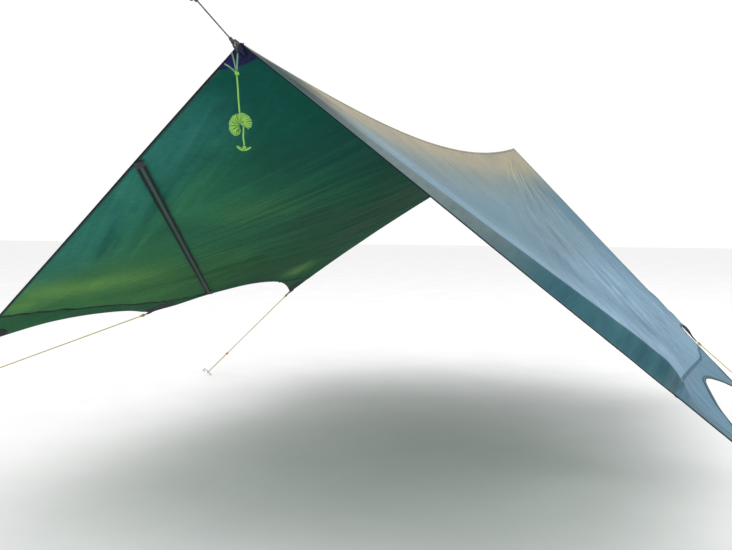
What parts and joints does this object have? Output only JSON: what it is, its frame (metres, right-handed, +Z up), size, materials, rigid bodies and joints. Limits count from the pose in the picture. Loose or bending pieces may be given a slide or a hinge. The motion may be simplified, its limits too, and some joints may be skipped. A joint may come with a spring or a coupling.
{
  "type": "tarp shelter",
  "caption": "Ridge-hung hex tarp shelter: two sewn side panels with cat-cut hems, tie-out loops and eyes, guy lines, tensioners, stakes and a hanging hank of spare cord.",
  "frame": {"origin": "the near end of the ridge seam, where the ridge line ties on", "axes": "+Y runs along the ridge to its far end, +X is the right panel's side as seen from the near end, +Z is up"},
  "size_m": [4.3659, 3.8506, 1.5991],
  "materials": {
    "canopy_cloth": "coated ripstop, green inside and grey-blue outside",
    "binding_tape": "woven grosgrain",
    "ridge_patch": "woven pack cloth",
    "corner_patch": "woven pack cloth",
    "loop_web": "woven webbing",
    "strap_web": "woven webbing",
    "moulded_black": "moulded, fine texture",
    "guy_cord": "braided",
    "ridge_cord": "braided",
    "hank_cord": "braided",
    "tensioner": "anodised",
    "stake_metal": "drawn, scuffed"
  },
  "bodies": {
    "canopy_assembly": {"canopy_left": "canopy_cloth", "canopy_right": "canopy_cloth", "eye_far_left": "moulded_black", "eye_far_right": "moulded_black", "eye_mid_left": "moulded_black", "eye_ridge_near": "moulded_black", "far_binding_left": "binding_tape", "far_binding_right": "binding_tape", "guy_cord_far_left": "guy_cord", "guy_cord_far_right": "guy_cord", "guy_cord_mid_left": "guy_cord", "guy_knots_far_left": "guy_cord", "guy_knots_far_right": "guy_cord", "guy_knots_mid_left": "guy_cord", "hank_legs": "hank_cord", "hem_binding_left": "binding_tape", "hem_binding_right": "binding_tape", "hem_panel_left": "canopy_cloth", "hem_panel_right": "canopy_cloth", "near_binding_left": "binding_tape", "near_binding_right": "binding_tape", "patch_far_left": "corner_patch", "patch_far_right": "corner_patch", "patch_mid_left": "corner_patch", "patch_mid_right": "corner_patch", "patch_near_left": "corner_patch", "patch_near_right": "corner_patch", "ridge_cord": "ridge_cord", "ridge_cord_knot": "ridge_cord", "ridge_end_loop": "ridge_cord", "ridge_patch_far": "ridge_patch", "ridge_patch_near": "ridge_patch", "ridge_tape": "binding_tape", "storm_strap": "strap_web", "strap_buckle": "moulded_black", "strap_edge_plate": "moulded_black", "web_loop_far_left": "loop_web", "web_loop_far_right": "loop_web", "web_loop_mid_left": "loop_web", "web_loop_mid_right": "loop_web", "web_loop_near_left": "loop_web", "web_loop_near_right": "loop_web", "web_loop_ridge_far": "loop_web", "web_loop_ridge_near": "loop_web"},
    "free_eye_ridge_far": {"eye_ridge_far": "moulded_black"},
    "free_eye_near_left": {"eye_near_left": "moulded_black"},
    "free_eye_near_right": {"eye_near_right": "moulded_black"},
    "free_eye_mid_right": {"eye_mid_right": "moulded_black"},
    "tensioner_mid_left": {"tensioner_mid_left": "tensioner"},
    "stake_mid_left": {"stake_mid_left": "stake_metal"},
    "tensioner_far_left": {"tensioner_far_left": "tensioner"},
    "stake_far_left": {"stake_far_left": "stake_metal"},
    "tensioner_far_right": {"tensioner_far_right": "tensioner"},
    "stake_far_right": {"stake_far_right": "stake_metal"},
    "hank": {"hank_joint_knot": "hank_cord", "hank_strand": "hank_cord", "hank_winding": "hank_cord", "hank_tail": "hank_cord", "hank_end_knot": "hank_cord"}
  },
  "joints": [
    {"name": "eye_swing_ridge_far", "type": "hinge", "parent": "canopy_assembly", "child": "free_eye_ridge_far", "pos_m": [0, 3.60793, 0.05609], "axis": [0, 0.1358, -0.9907], "range_deg": [-95, 95]},
    {"name": "eye_swing_near_left", "type": "hinge", "parent": "canopy_assembly", "child": "free_eye_near_left", "pos_m": [-1.35411, 0.52533, -0.82665], "axis": [0.5025, -0.8118, 0.2975], "range_deg": [-95, 95]},
    {"name": "eye_swing_near_right", "type": "hinge", "parent": "canopy_assembly", "child": "free_eye_near_right", "pos_m": [1.15645, 0.69554, -1.04196], "axis": [0.4429, 0.8273, -0.3457], "range_deg": [-95, 95]},
    {"name": "eye_swing_mid_right", "type": "hinge", "parent": "canopy_assembly", "child": "free_eye_mid_right", "pos_m": [1.21032, 1.7, -1.04801], "axis": [-0.0031, 1, -0.0038], "range_deg": [-95, 95]},
    {"name": "tensioner_slide_mid_left", "type": "slide", "parent": "canopy_assembly", "child": "tensioner_mid_left", "axis": [-0.9195, -0.1927, -0.3425], "range_m": [0, 0.12]},
    {"name": "stake_pull_mid_left", "type": "slide", "parent": "canopy_assembly", "child": "stake_mid_left", "axis": [-0.3352, -0.0702, 0.9395], "range_m": [0, 0.15]},
    {"name": "tensioner_slide_far_left", "type": "slide", "parent": "canopy_assembly", "child": "tensioner_far_left", "axis": [-0.6965, -0.1691, -0.6973], "range_m": [0, 0.12]},
    {"name": "stake_pull_far_left", "type": "slide", "parent": "canopy_assembly", "child": "stake_far_left", "axis": [-0.6776, -0.1645, 0.7168], "range_m": [0, 0.15]},
    {"name": "tensioner_slide_far_right", "type": "slide", "parent": "canopy_assembly", "child": "tensioner_far_right", "axis": [0.7369, 0.133, -0.6628], "range_m": [0, 0.12]},
    {"name": "stake_pull_far_right", "type": "slide", "parent": "canopy_assembly", "child": "stake_far_right", "axis": [0.6523, 0.1177, 0.7488], "range_m": [0, 0.15]},
    {"name": "hank_swing", "type": "hinge", "parent": "canopy_assembly", "child": "hank", "pos_m": [-0.014, 0.008, -0.063], "axis": [0, 1, 0], "range_deg": [-35, 35]}
  ]
}
